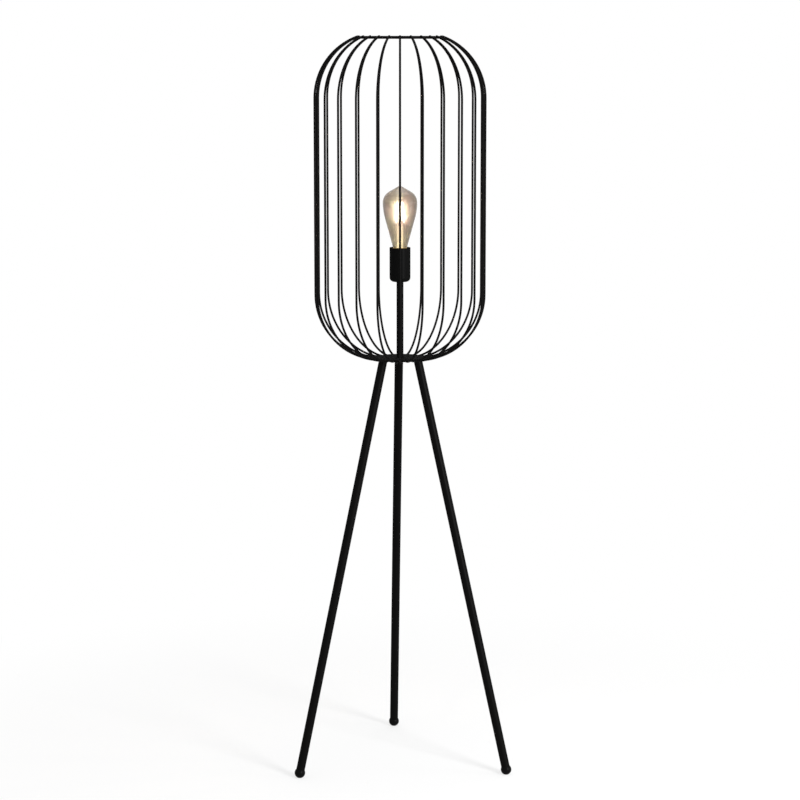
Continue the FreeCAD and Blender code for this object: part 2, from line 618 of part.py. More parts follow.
# ---------------------------------------------------------------- assembly
def build():
    parts = {}
    wire = cage_wire()
    for index in range(WIRE_COUNT):
        angle = -90 + CAGE_CLOCKING + 360 / WIRE_COUNT * index
        parts["cage_wire_%02d" % (index + 1)] = spun(wire, angle)
    parts["mouth_ring"] = mouth_ring()
    parts["base_plate"] = base_plate()
    for index, name in enumerate(LEG_NAMES):
        parts["leg_tube_" + name] = leg_tube(index)
        parts["leg_boss_" + name] = leg_boss(index)
        parts["leg_insert_" + name] = leg_insert(index)
        parts["foot_" + name] = ball_foot(index)
    parts["leg_studs"] = Part.makeCompound([leg_stud(index) for index in range(len(LEG_NAMES))])
    parts["stem_tube"] = stem_tube()
    parts["stem_nipple_lower"] = lower_nipple()
    parts["stem_washer"] = lower_washer()
    parts["stem_nut"] = hex_nut(LOWER_NUT_BOTTOM)
    parts["inlet_bush"] = inlet_bush()
    parts["stem_nipple_upper"] = upper_nipple()
    parts["holder_sleeve"] = holder_sleeve()
    parts["holder_cap"] = holder_cap()
    parts["holder_body"] = holder_body()
    parts["holder_contact_block"] = contact_block()
    parts["holder_thread_shell"] = threaded_shell()
    parts["holder_centre_contact"] = centre_contact()
    parts["holder_terminals"] = terminals()
    parts["holder_terminal_screws"] = terminal_screws()
    parts["bulb_glass"] = bulb_glass()
    parts["bulb_screw_cap"] = bulb_cap()
    parts["bulb_insulator"] = bulb_insulator()
    parts["bulb_tip_contact"] = bulb_contact()
    parts["bulb_mount"] = bulb_mount()
    parts["bulb_filaments"] = bulb_filaments()
    parts["bulb_lead_wires"] = bulb_lead_wires()
    return parts


os.makedirs("parts", exist_ok=True)
for node, shape in build().items():
    shape.exportStep("parts/%s.step" % node)
    print(node, len(shape.Solids), "solid(s), valid", shape.isValid(), "volume %.1f" % shape.Volume)
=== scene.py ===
"""Looks of a wire cage floor lamp, built round its construction model.

Metres, +Z up. The origin is on the floor on the lamp's axis, and the back leg points along +Y.
"""

import logging
import math
from dataclasses import dataclass
from enum import Enum
from typing import Any, ClassVar, Iterable, Sequence

import bmesh
import bpy
from mathutils import Matrix, Vector, noise


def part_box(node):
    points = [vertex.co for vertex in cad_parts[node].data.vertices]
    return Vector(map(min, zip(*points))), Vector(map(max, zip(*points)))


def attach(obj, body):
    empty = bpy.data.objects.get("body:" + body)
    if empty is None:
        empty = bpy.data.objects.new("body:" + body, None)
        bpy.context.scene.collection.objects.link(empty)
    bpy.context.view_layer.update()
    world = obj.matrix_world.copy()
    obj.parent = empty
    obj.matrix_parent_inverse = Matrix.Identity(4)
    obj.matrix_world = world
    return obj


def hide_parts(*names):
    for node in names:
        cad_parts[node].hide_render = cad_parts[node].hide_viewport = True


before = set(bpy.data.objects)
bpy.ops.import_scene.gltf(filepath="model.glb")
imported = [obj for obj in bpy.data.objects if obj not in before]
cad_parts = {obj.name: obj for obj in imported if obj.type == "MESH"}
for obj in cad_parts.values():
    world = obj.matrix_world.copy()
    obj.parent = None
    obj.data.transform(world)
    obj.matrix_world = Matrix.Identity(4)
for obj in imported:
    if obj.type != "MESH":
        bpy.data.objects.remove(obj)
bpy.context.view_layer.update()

MM = 0.001
UP = Vector((0, 0, 1))
# Nearly all of a noise texture's values lie between these two.
NOISE_LOW, NOISE_HIGH = 0.3, 0.7
log = logging.getLogger("lamp")


class Body(Enum):
    """What a piece moves with."""

    LAMP = "lamp"
    BULB = "bulb"


class Slot(Enum):
    """Names of material slots for the finishes. No piece in this script is given one."""

    POWDER_COAT = "powder_coat"
    BRASS = "brass"
    ZINC_STEEL = "zinc_steel"
    BULB_GLASS = "bulb_glass"
    MOUNT_GLASS = "mount_glass"
    FILAMENT = "filament"
    NICKEL_WIRE = "nickel_wire"


# ---------------------------------------------------------------- shader helpers
def srgb(code: str) -> tuple[float, float, float, float]:
    """Turn an sRGB hex colour into the linear colour that a shader takes.

    Args:
        code: The colour, such as "#1C1B1A".

    Returns:
        Red, green, blue and an alpha of 1.
    """
    channels = [int(code[k:k + 2], 16) / 255 for k in (1, 3, 5)]
    linear = [c / 12.92 if c <= 0.04045 else ((c + 0.055) / 1.055) ** 2.4 for c in channels]
    return (*linear, 1.0)


def add_node(tree: bpy.types.NodeTree, kind: str, settings: dict[str, Any] | None = None,
             sockets: dict[str | int, Any] | None = None) -> bpy.types.Node:
    """Add a shader node, set its properties, and set or link its input sockets.

    Args:
        tree: The node tree that the node goes into.
        kind: The node's type.
        settings: Property names and their values.
        sockets: Input names or numbers, with a value or the output that feeds them.

    Returns:
        The new node.
    """
    node = tree.nodes.new(kind)
    for name, value in (settings or {}).items():
        setattr(node, name, value)
    for key, value in (sockets or {}).items():
        if isinstance(value, bpy.types.NodeSocket):
            tree.links.new(value, node.inputs[key])
        else:
            node.inputs[key].default_value = value
    return node


def empty_material(name: str) -> bpy.types.Material:
    """Make a material whose node tree is empty.

    Args:
        name: The material's name.

    Returns:
        The material.
    """
    material = bpy.data.materials.new(name)
    material.use_nodes = True
    material.node_tree.nodes.clear()
    return material


# ---------------------------------------------------------------- finishes
@dataclass(frozen=True)
class Finish:
    """An opaque surface with a grain and a slow drift of tone, both set in real millimetres."""

    name: str
    colour: str
    drift_colour: str
    roughness: float
    roughness_swing: float
    grain_mm: float
    grain_height_mm: float
    drift_mm: float = 40.0
    metallic: float = 0.0
    specular: float = 0.5
    dull_edge: float = 0.0
    stretch: tuple[float, float, float] = (1.0, 1.0, 1.0)

    def material(self) -> bpy.types.Material:
        """The material of this finish, made at its first use."""
        return bpy.data.materials.get(self.name) or self.build()

    def build(self) -> bpy.types.Material:
        """Build the material's nodes.

        Returns:
            The new material.
        """
        material = empty_material(self.name)
        tree = material.node_tree
        place = add_node(tree, "ShaderNodeTexCoord").outputs["Object"]
        stretched = add_node(tree, "ShaderNodeMapping", None,
                             {"Vector": place, "Scale": self.stretch}).outputs["Vector"]
        grain = add_node(tree, "ShaderNodeTexNoise", None, {
            "Vector": stretched, "Scale": 1 / (self.grain_mm * MM), "Detail": 3.0,
            "Roughness": 0.55})
        drift = add_node(tree, "ShaderNodeTexNoise", None, {
            "Vector": place, "Scale": 1 / (self.drift_mm * MM), "Detail": 2.0, "Roughness": 0.5})
        colour = add_node(tree, "ShaderNodeMix", {"data_type": "RGBA"}, {
            "Factor": drift.outputs["Fac"], "A": srgb(self.colour), "B": srgb(self.drift_colour)})
        rough = add_node(tree, "ShaderNodeMapRange", None, {
            "Value": grain.outputs["Fac"], "From Min": NOISE_LOW, "From Max": NOISE_HIGH,
            "To Min": self.roughness - self.roughness_swing,
            "To Max": self.roughness + self.roughness_swing})
        facing = add_node(tree, "ShaderNodeLayerWeight", None, {"Blend": 0.5}).outputs["Facing"]
        dulled = add_node(tree, "ShaderNodeMath", {"operation": "MULTIPLY_ADD"}, {
            0: facing, 1: self.dull_edge, 2: rough.outputs["Result"]})
        bump = add_node(tree, "ShaderNodeBump", None, {
            "Height": grain.outputs["Fac"], "Distance": self.grain_height_mm * MM, "Strength": 1.0})
        shader = add_node(tree, "ShaderNodeBsdfPrincipled", None, {
            "Base Color": colour.outputs["Result"], "Metallic": self.metallic,
            "Roughness": dulled.outputs["Value"], "Specular IOR Level": self.specular,
            "Normal": bump.outputs["Normal"]})
        add_node(tree, "ShaderNodeOutputMaterial", None, {"Surface": shader.outputs["BSDF"]})
        return material


@dataclass(frozen=True)
class Glass:
    """Glass with a coloured body and a thin coat; some has a mist of fine droplets, some a painted
    glow.
    """

    name: str
    coat: str
    coat_drift: str
    edge: str
    body: str
    density: float
    mist: float
    mist_roughness: float = 0.7
    mist_swing: float = 0.2
    drift_mm: float = 25.0
    ripple_mm: float = 14.0
    ripple_height_mm: float = 0.05
    ior: float = 1.5
    # glow and painted_glow_strength give painted light: an emission that stands for light the glass
    # carries.
    glow: str = "#000000"
    painted_glow_strength: float = 0.0

    def material(self) -> bpy.types.Material:
        """The material of this glass, made at its first use."""
        return bpy.data.materials.get(self.name) or self.build()

    def build(self) -> bpy.types.Material:
        """Build the glass: a coated surface, clear and misted in one, round a body that absorbs.

        Returns:
            The new material.
        """
        material = empty_material(self.name)
        tree = material.node_tree
        place = add_node(tree, "ShaderNodeTexCoord").outputs["Object"]
        drift = add_node(tree, "ShaderNodeTexNoise", None, {
            "Vector": place, "Scale": 1 / (self.drift_mm * MM), "Detail": 1.0, "Roughness": 0.4})
        share = add_node(tree, "ShaderNodeMapRange", None, {
            "Value": drift.outputs["Fac"], "From Min": NOISE_LOW, "From Max": NOISE_HIGH,
            "To Min": (1 - self.mist_swing) * self.mist,
            "To Max": (1 + self.mist_swing) * self.mist})
        ripple = add_node(tree, "ShaderNodeTexNoise", None, {
            "Vector": place, "Scale": 1 / (self.ripple_mm * MM), "Detail": 1.0, "Roughness": 0.4})
        bump = add_node(tree, "ShaderNodeBump", None, {
            "Height": ripple.outputs["Fac"], "Distance": self.ripple_height_mm * MM,
            "Strength": 1.0})
        tone = add_node(tree, "ShaderNodeMapRange", None, {
            "Value": drift.outputs["Fac"], "From Min": 0.4, "From Max": 0.6})
        lustre = add_node(tree, "ShaderNodeMix", {"data_type": "RGBA"}, {
            "Factor": tone.outputs["Result"], "A": srgb(self.coat), "B": srgb(self.coat_drift)})
        facing = add_node(tree, "ShaderNodeLayerWeight", None, {"Blend": 0.5}).outputs["Facing"]
        coat = add_node(tree, "ShaderNodeMix", {"data_type": "RGBA"}, {
            "Factor": facing, "A": lustre.outputs["Result"], "B": srgb(self.edge)})
        # Both closures give off the painted glow, where one is set.
        clear, misted = (add_node(tree, "ShaderNodeBsdfPrincipled", None, {
            "Base Color": coat.outputs["Result"], "Roughness": roughness, "IOR": self.ior,
            "Transmission Weight": 1.0, "Normal": bump.outputs["Normal"],
            "Emission Color": srgb(self.glow), "Emission Strength": self.painted_glow_strength})
            for roughness in (0.0, self.mist_roughness))
        mixed = add_node(tree, "ShaderNodeMixShader", None, {
            0: share.outputs["Result"], 1: clear.outputs["BSDF"], 2: misted.outputs["BSDF"]})
        volume = add_node(tree, "ShaderNodeVolumeAbsorption", None, {
            "Color": srgb(self.body), "Density": self.density})
        add_node(tree, "ShaderNodeOutputMaterial", None, {
            "Surface": mixed.outputs["Shader"], "Volume": volume.outputs["Volume"]})
        return material


@dataclass(frozen=True)
class Glow:
    """A phosphor coat that gives off light, a little unevenly along its length."""

    name: str
    colour: str
    light: str
    strength: float
    chip_mm: float = 10.0
    gap_share: float = 0.8

    def material(self) -> bpy.types.Material:
        """The material of this coat, made at its first use."""
        return bpy.data.materials.get(self.name) or self.build()

    def build(self) -> bpy.types.Material:
        """Build the glowing coat.

        Returns:
            The new material.
        """
        material = empty_material(self.name)
        tree = material.node_tree
        place = add_node(tree, "ShaderNodeTexCoord").outputs["Object"]
        chips = add_node(tree, "ShaderNodeTexWave", {"bands_direction": "Z"}, {
            "Vector": place, "Scale": 1 / (self.chip_mm * MM), "Distortion": 0.0})
        strength = add_node(tree, "ShaderNodeMapRange", None, {
            "Value": chips.outputs["Fac"], "To Min": self.gap_share * self.strength,
            "To Max": self.strength})
        shader = add_node(tree, "ShaderNodeBsdfPrincipled", None, {
            "Base Color": srgb(self.colour), "Roughness": 0.6,
            "Emission Color": srgb(self.light), "Emission Strength": strength.outputs["Result"]})
        add_node(tree, "ShaderNodeOutputMaterial", None, {"Surface": shader.outputs["BSDF"]})
        return material


# Polyester powder, sprayed dry on steel and baked: a soft satin black with a fine orange peel.
# The peel is about 1 mm across on the real coat; it is drawn at 2 mm so that it shows.
POWDER_COAT = Finish("satin_black_powder_coat", "#080808", "#0B0A0A", 0.34, 0.05, 2.0, 0.025,
                     specular=0.02, dull_edge=0.6)
# Stove lacquer over a deep drawn steel cup: smoother and a little glossier than powder.
LACQUER = Finish("black_stove_lacquer", "#070707", "#090909", 0.34, 0.05, 3.0, 0.012,
                 specular=0.02, dull_edge=0.7)
# Injection moulded polyamide, from a lightly spark-eroded mould: black with a dull sheen.
NYLON = Finish("black_moulded_nylon", "#080808", "#0B0B0B", 0.34, 0.08, 0.8, 0.02, specular=0.03)
# Zinc plating, passivated: a pale grey metal with a faint warm drift.
ZINC = Finish("zinc_plated_steel", "#B4B2AB", "#A79F8C", 0.36, 0.08, 0.6, 0.01, metallic=1.0)
# The same plating blackened, on the fixings that can be seen from below: sooty grey, soft gloss.
BLACK_ZINC = Finish("black_zinc_plated_steel", "#101010", "#1A1814", 0.4, 0.08, 0.6, 0.01,
                    specular=0.2)
# Brass strip, rolled and stamped: fine lines that run round the pressed shell.
BRASS = Finish("stamped_brass_strip", "#C6AD76", "#B09455", 0.3, 0.08, 0.5, 0.008, metallic=1.0,
               stretch=(0.15, 0.15, 1.0))
# Compression moulded phenolic, filled with dark wood flour: near black, semi-gloss, a faint mottle.
PHENOLIC = Finish("black_moulded_phenolic", "#0B0908", "#070606", 0.35, 0.06, 1.5, 0.01,
                  drift_mm=4.0, specular=0.1)
# Pressed and fired steatite: dense, white and chalky.
STEATITE = Finish("fired_steatite", "#E4DFD2", "#D6CFBF", 0.62, 0.06, 0.5, 0.02, drift_mm=8.0)
# The black glass bead that insulates the tip of a bulb's cap: poured, glossy.
BLACK_BEAD = Finish("black_poured_glass", "#0A0A0C", "#101014", 0.12, 0.04, 3.0, 0.02)
# A drop of soft solder: grey, part dull, with a pebbled skin.
SOLDER = Finish("soft_solder", "#A9A9AA", "#8D8D90", 0.38, 0.12, 0.7, 0.06, metallic=1.0)
# Drawn nickel wire and tabs: bright and slightly warm.
NICKEL = Finish("drawn_nickel", "#C9C3B5", "#B4AD9D", 0.25, 0.06, 0.4, 0.005, metallic=1.0)
# Blown glass with a smoky amber lustre sprayed inside: a tan see-through tone that drifts between
# a rosy and an olive cast, and is deeper where the wall is seen edge on. The spray lies in droplets
# far too fine to show, which spread the light of the rods into a glow; between them it stays clear.
AMBER_GLASS = Glass("smoky_amber_lustre_glass", "#D5C3BB", "#CDC9B4", "#8C8172", "#E1BC89", 60.0,
                    mist=0.38)
# The pressed glass of the stem inside the bulb, tinted pale yellow. Its glow is painted light: an
# emission that stands for the rods' light running down it, though the glass is no lamp.
STEM_GLASS = Glass("pressed_stem_glass", "#FFF6DA", "#FFF1CC", "#FFE9BE", "#FFF3D8", 20.0, mist=0.5,
                   glow="#FFFAF2", painted_glow_strength=0.85)
# Silicone filled with yellow phosphor over a row of chips: cream white when it is lit.
PHOSPHOR = Glow("lit_phosphor_coat", "#F2D98A", "#FFF7EC", 190.0)


# ---------------------------------------------------------------- mesh helpers
class Outline:
    """The outline of a turned piece, as distances from its axis and heights in metres."""

    def __init__(self, *points: tuple[float, float]) -> None:
        """Start with some corners.

        Args:
            points: Distance from the axis and height of each corner.
        """
        self.points = [Vector((r, 0, z)) for r, z in points]

    def line(self, *points: tuple[float, float]) -> "Outline":
        """Go on straight to further corners, and return the outline."""
        self.points += [Vector((r, 0, z)) for r, z in points]
        return self

    def arc(self, centre: tuple[float, float], radius: float, start: float, end: float,
            steps: int) -> "Outline":
        """Go round an arc.

        Args:
            centre: Distance from the axis and height of the arc's centre.
            radius: The arc's radius.
            start: The angle where it starts, in degrees up from level.
            end: The angle where it ends.
            steps: How many straight edges it is drawn with.

        Returns:
            The outline itself.
        """
        for step in range(steps + 1):
            angle = math.radians(start + (end - start) * step / steps)
            self.points.append(Vector((centre[0] + radius * math.cos(angle), 0,
                                       centre[1] + radius * math.sin(angle))))
        return self


def tidied(shape: bmesh.types.BMesh) -> bmesh.types.BMesh:
    """Merge doubled points, drop faces without area and turn every face outwards."""
    bmesh.ops.remove_doubles(shape, verts=shape.verts, dist=1e-6)
    bmesh.ops.dissolve_degenerate(shape, edges=shape.edges, dist=1e-7)
    bmesh.ops.recalc_face_normals(shape, faces=shape.faces)
    return shape


def lathe(outline: Outline, steps: int = 96) -> bmesh.types.BMesh:
    """Turn an outline round the Z axis. One that starts and ends on the axis gives a closed shape.

    Args:
        outline: The outline to turn.
        steps: How many facets go round.

    Returns:
        The turned shape.
    """
    shape = bmesh.new()
    verts = [shape.verts.new(point) for point in outline.points]
    edges = [shape.edges.new(pair) for pair in zip(verts, verts[1:])]
    bmesh.ops.spin(shape, geom=verts + edges, cent=(0, 0, 0), axis=UP, angle=2 * math.pi,
                   steps=steps, use_merge=True)
    return tidied(shape)


def joined(shapes: Iterable[bmesh.types.BMesh]) -> bmesh.types.BMesh:
    """Put several shapes into one, each still a body of its own.

    Args:
        shapes: The shapes, which are used up.

    Returns:
        One shape that holds them all.
    """
    whole = bmesh.new()
    for shape in shapes:
        carrier = bpy.data.meshes.new("carrier")
        shape.to_mesh(carrier)
        whole.from_mesh(carrier)
        bpy.data.meshes.remove(carrier)
        shape.free()
    return whole


def moved(shape: bmesh.types.BMesh, matrix: Matrix) -> bmesh.types.BMesh:
    """Move a whole shape by a matrix, and return it."""
    bmesh.ops.transform(shape, matrix=matrix, verts=shape.verts)
    return shape


def rim_edges(shape: bmesh.types.BMesh, height: float) -> list[bmesh.types.BMEdge]:
    """The open edges of a shape that lie at a height."""
    return [e for e in shape.edges
            if e.is_boundary and all(abs(v.co.z - height) < 1e-6 for v in e.verts)]


def grow_rim(shape: bmesh.types.BMesh, low: float, radius: float, height: float) -> None:
    """Extend the open rim at one height to a circle at another.

    Args:
        shape: The shape, with an open rim at the height low.
        low: The height of the rim.
        radius: The radius of the new rim.
        height: The height of the new rim.
    """
    grown = bmesh.ops.extrude_edge_only(shape, edges=rim_edges(shape, low))
    for vert in (g for g in grown["geom"] if isinstance(g, bmesh.types.BMVert)):
        flat = Vector((vert.co.x, vert.co.y, 0)).normalized() * radius
        vert.co = flat + UP * height


@dataclass(frozen=True)
class Thread:
    """A screw thread round the Z axis: its crest radius, depth and pitch in metres."""

    crest: float
    depth: float
    pitch: float
    rounded: bool = False
    steps: int = 32

    def ridge(self) -> list[tuple[float, float]]:
        """One turn's outline: shares of the depth below the crest, and of the pitch upwards."""
        if self.rounded:
            shares = [k / 8 for k in range(9)]
            return [((1 + math.cos(2 * math.pi * s)) / 2, s) for s in shares]
        return [(1, 0), (1, 0.125), (0, 0.45), (0, 0.55), (1, 0.875), (1, 1)]

    def surface(self, low: float, high: float) -> bmesh.types.BMesh:
        """The thread's surface between two heights, open at both ends.

        Args:
            low: The lower height.
            high: The upper height.

        Returns:
            The helical surface, cut level at its ends.
        """
        shape = bmesh.new()
        start = (math.floor(low / self.pitch) - 1) * self.pitch
        turns = math.ceil((high - start) / self.pitch) + 1
        verts = [shape.verts.new((self.crest - drop * self.depth, 0, start + rise * self.pitch))
                 for drop, rise in self.ridge()]
        edges = [shape.edges.new(pair) for pair in zip(verts, verts[1:])]
        bmesh.ops.spin(shape, geom=verts + edges, cent=(0, 0, 0), axis=UP,
                       dvec=UP * self.pitch / self.steps, angle=2 * math.pi * turns,
                       steps=self.steps * turns)
        bmesh.ops.remove_doubles(shape, verts=shape.verts, dist=1e-6)
        for height, outwards in ((low, -UP), (high, UP)):
            bmesh.ops.bisect_plane(shape, geom=shape.verts[:] + shape.edges[:] + shape.faces[:],
                                   dist=1e-7, plane_co=UP * height, plane_no=outwards,
                                   clear_outer=True)
        return shape


def finished(name: str, shape: bmesh.types.BMesh, body: Body, finish: Any,
             replaces: Sequence[str] = (), crease: float = 35.0) -> bpy.types.Object:
    """Make a piece of the lamp from a shape, dressed and riding on its body.

    Args:
        name: The piece's name.
        shape: Its shape, in place, which is used up.
        body: What it moves with.
        finish: The finish that dresses it.
        replaces: The construction nodes that it stands for.
        crease: Edges that turn by more degrees than this stay sharp.

    Returns:
        The piece.
    """
    for face in shape.faces:
        face.smooth = True
    for edge in shape.edges:
        edge.smooth = len(edge.link_faces) != 2 or edge.calc_face_angle() < math.radians(crease)
    mesh = bpy.data.meshes.new(name)
    shape.to_mesh(mesh)
    shape.free()
    mesh.materials.append(finish.material())
    piece = bpy.data.objects.new(name, mesh)
    bpy.context.scene.collection.objects.link(piece)
    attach(piece, body.value)
    if replaces:
        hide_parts(*replaces)
    log.info("%s: %d faces on %s", name, len(mesh.polygons), body.value)
    return piece


def thicken(piece: bpy.types.Object, wall: float, outwards: bool) -> None:
    """Give an open surface a wall.

    Args:
        piece: The piece.
        wall: The wall's thickness.
        outwards: Whether the wall grows along the faces' normals.
    """
    solidify = piece.modifiers.new("wall", "SOLIDIFY")
    solidify.thickness = wall
    solidify.offset = 1.0 if outwards else -1.0
    solidify.use_even_offset = True


def dress(nodes: Iterable[str], finish: Any) -> None:
    """Give construction nodes a finish.

    Args:
        nodes: The nodes' names.
        finish: The finish.
    """
    for node in nodes:
        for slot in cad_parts[node].material_slots:
            slot.material = finish.material()
        log.info("%s: dressed in %s", node, finish.name)


def nodes_like(*starts: str) -> list[str]:
    """The construction nodes whose names start in one of these ways."""
    return [node for node in sorted(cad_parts) if node.startswith(starts)]


def lump(centre: Vector, size: Vector, turn: Matrix, seed: float) -> bmesh.types.BMesh:
    """A small uneven bead of weld metal.

    Args:
        centre: Its middle.
        size: Its half sizes along its own axes.
        turn: The rotation of its own axes.
        seed: Where its unevenness is read from, so that no two are alike.

    Returns:
        The bead.
    """
    bead = bmesh.new()
    bmesh.ops.create_icosphere(bead, subdivisions=2, radius=1.0)
    for vert in bead.verts:
        vert.co *= 1 + 0.12 * noise.noise(vert.co * 1.3 + Vector((seed, 0, 0)))
    place = Matrix.Translation(centre) @ turn.to_4x4() @ Matrix.Diagonal((*size, 1))
    return moved(bead, place)


# ---------------------------------------------------------------- the lamp's sub-assemblies
@dataclass
class Cage:
    """The bent wires, the ring round the mouth and the plate underneath, with their welds."""

    wire_radius: float = 2.0 * MM
    ring_wire_radius: float = 2.5 * MM
    bead_length: float = 1.9 * MM
    bead_width: float = 0.9 * MM
    ring_bead_out: float = 0.6
    ring_bead_up: float = 0.7
    ring_slope: float = 19.0
    plate_bead_out: float = 0.3
    plate_slope: float = -4.0

    def wires(self) -> list[str]:
        """The names of the cage's wires."""
        return nodes_like("cage_wire_")

    def heading(self, node: str) -> float:
        """The angle round the axis at which a wire stands, from the middle of its box."""
        low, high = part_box(node)
        middle = (low + high) / 2
        return math.atan2(middle.y, middle.x)

    def beads(self, radius: float, height: float, slope: float) -> bmesh.types.BMesh:
        """Two beads at every wire, one each side.

        Args:
            radius: Their distance from the axis.
            height: Their height.
            slope: How far the wire dips outwards there, in radians.

        Returns:
            All the beads.
        """
        size = Vector((self.bead_length, self.bead_width, self.bead_width))
        beads = []
        for number, node in enumerate(self.wires()):
            angle = self.heading(node)
            turn = Matrix.Rotation(angle, 3, "Z") @ Matrix.Rotation(slope, 3, "Y")
            seat = Vector((radius * math.cos(angle), radius * math.sin(angle), height))
            for side in (-1, 1):
                offset = turn @ Vector((0, side * self.wire_radius, 0))
                beads.append(lump(seat + offset, size, turn, number + side / 3))
        return joined(beads)

    def build(self) -> None:
        """Dress the cage and add its welds."""
        dress([*self.wires(), "mouth_ring", "base_plate"], POWDER_COAT)
        ring_low, ring_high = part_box("mouth_ring")
        ring_middle = (ring_low.z + ring_high.z) / 2
        ring_radius = ring_high.x - self.ring_wire_radius
        plate_low, plate_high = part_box("base_plate")
        finished("ring_welds",
                 self.beads(ring_radius + self.ring_bead_out * self.ring_wire_radius,
                            ring_middle + self.ring_bead_up * self.ring_wire_radius,
                            math.radians(self.ring_slope)),
                 Body.LAMP, POWDER_COAT)
        finished("plate_welds",
                 self.beads(plate_high.x + self.plate_bead_out * self.wire_radius,
                            (plate_low.z + plate_high.z) / 2, math.radians(self.plate_slope)),
                 Body.LAMP, POWDER_COAT)


@dataclass
class Tripod:
    """The legs with their stubs, studs, inserts and ball feet."""

    weld_radius: float = 1.5 * MM
    weld_ripples: int = 30
    ripple_share: float = 0.07
    stud: Thread = Thread(4.0 * MM, 0.76 * MM, 1.25 * MM, steps=24)
    stud_lead: float = 0.5 * MM
    stud_chamfer: float = 0.3 * MM
    stud_reach: float = 20.0 * MM

    def fillet(self, stub: str) -> bmesh.types.BMesh:
        """The rippled fillet weld round a stub, under the plate.

        Args:
            stub: The stub's node.

        Returns:
            The weld.
        """
        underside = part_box("base_plate")[0].z
        top = [v.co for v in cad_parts[stub].data.vertices
               if abs(v.co.z - underside) < 0.01 * MM]
        centre = sum(top, Vector()) / len(top)
        out = Vector((centre.x, centre.y, 0)).normalized()
        across = UP.cross(out)
        long_radius = max((p - centre).dot(out) for p in top)
        short_radius = max((p - centre).dot(across) for p in top)
        # The bead starts as a ring of this radius and unit thickness, and is laid round the stub.
        ring = 10
        weld = bmesh.new()
        bmesh.ops.create_circle(weld, segments=12, radius=1.0)
        bmesh.ops.rotate(weld, verts=weld.verts, cent=(0, 0, 0),
                         matrix=Matrix.Rotation(math.pi / 2, 3, "X"))
        bmesh.ops.translate(weld, verts=weld.verts, vec=(ring, 0, 0))
        bmesh.ops.spin(weld, geom=weld.verts[:] + weld.edges[:], cent=(0, 0, 0), axis=UP,
                       angle=2 * math.pi, steps=6 * self.weld_ripples, use_merge=True)
        for vert in weld.verts:
            flat = Vector((vert.co.x, vert.co.y, 0))
            around = math.atan2(flat.y, flat.x)
            ripple = 1 + self.ripple_share * math.sin(self.weld_ripples * around)
            thick = (flat.length - ring) * self.weld_radius * ripple
            rise = vert.co.z * self.weld_radius * ripple
            vert.co = (centre + out * math.cos(around) * (long_radius + thick)
                       + across * math.sin(around) * (short_radius + thick) + UP * min(rise, 0))
        return tidied(weld)

    def studs(self) -> bmesh.types.BMesh:
        """The three threaded studs, in place of the plain ones."""
        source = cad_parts["leg_studs"].data
        studs = []
        for leg in ("back", "left", "right"):
            low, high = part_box("leg_tube_" + leg)
            middle = (low + high) / 2
            out = Vector((middle.x, middle.y, 0)).normalized()
            mine = [v.co for v in source.vertices if v.co.dot(out) > self.stud_reach]
            axis = self.leg_axis(leg)
            reach = [p.dot(axis) for p in mine]
            length = max(reach) - min(reach)
            centre = sum(mine, Vector()) / len(mine)
            bottom = centre + axis * (min(reach) - centre.dot(axis))
            shape = self.stud.surface(self.stud_lead, length - self.stud_lead)
            tip = self.stud.crest - self.stud.depth - self.stud_chamfer
            grow_rim(shape, self.stud_lead, tip, 0)
            grow_rim(shape, length - self.stud_lead, tip, length)
            bmesh.ops.holes_fill(shape, edges=[e for e in shape.edges if e.is_boundary])
            turn = UP.rotation_difference(axis).to_matrix().to_4x4()
            studs.append(moved(tidied(shape), Matrix.Translation(bottom) @ turn))
        return joined(studs)

    def leg_axis(self, leg: str) -> Vector:
        """The direction of a leg, upwards along its tube, from the ends of its mesh."""
        points = [v.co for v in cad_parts["leg_tube_" + leg].data.vertices]
        top = max(p.z for p in points)
        bottom = min(p.z for p in points)
        half = (top + bottom) / 2
        upper = [p for p in points if p.z > half]
        lower = [p for p in points if p.z < half]
        return (sum(upper, Vector()) / len(upper) - sum(lower, Vector()) / len(lower)).normalized()

    def build(self) -> None:
        """Dress the legs, add the welds and thread the studs."""
        dress(nodes_like("leg_tube_", "leg_boss_"), POWDER_COAT)
        dress(nodes_like("leg_insert_"), ZINC)
        dress(nodes_like("foot_"), NYLON)
        finished("stub_welds", joined([self.fillet(stub) for stub in nodes_like("leg_boss_")]),
                 Body.LAMP, POWDER_COAT)
        finished("threaded_studs", self.studs(), Body.LAMP, ZINC, ["leg_studs"])


@dataclass
class Stem:
    """The tube under the holder, with the pipe nipples, the nut and the inlet bush."""

    bore: float = 3.5 * MM
    lead: float = 0.4 * MM
    pipe: Thread = Thread(5.0 * MM, 0.55 * MM, 1.0 * MM, steps=24)

    def nipple(self, node: str) -> bmesh.types.BMesh:
        """A threaded pipe nipple in place of a plain one.

        Args:
            node: The plain nipple's node.

        Returns:
            The threaded nipple.
        """
        low, high = (corner.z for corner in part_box(node))
        shape = self.pipe.surface(low + self.lead, high - self.lead)
        root = self.pipe.crest - self.pipe.depth
        for start, end in ((low + self.lead, low), (high - self.lead, high)):
            grow_rim(shape, start, root, end)
            grow_rim(shape, end, self.bore, end)
        bmesh.ops.bridge_loops(shape, edges=[e for e in shape.edges if e.is_boundary])
        return tidied(shape)

    def build(self) -> None:
        """Dress the stem and its fixings and thread the nipples."""
        dress(["stem_tube"], POWDER_COAT)
        dress(["stem_washer", "stem_nut"], BLACK_ZINC)
        dress(["inlet_bush"], NYLON)
        for node in ("stem_nipple_lower", "stem_nipple_upper"):
            finished(node.replace("stem_", "threaded_"), self.nipple(node), Body.LAMP,
                     BLACK_ZINC, [node])


CAP_THREAD = Thread(13.2 * MM, 1.05 * MM, 3.63 * MM, rounded=True, steps=48)


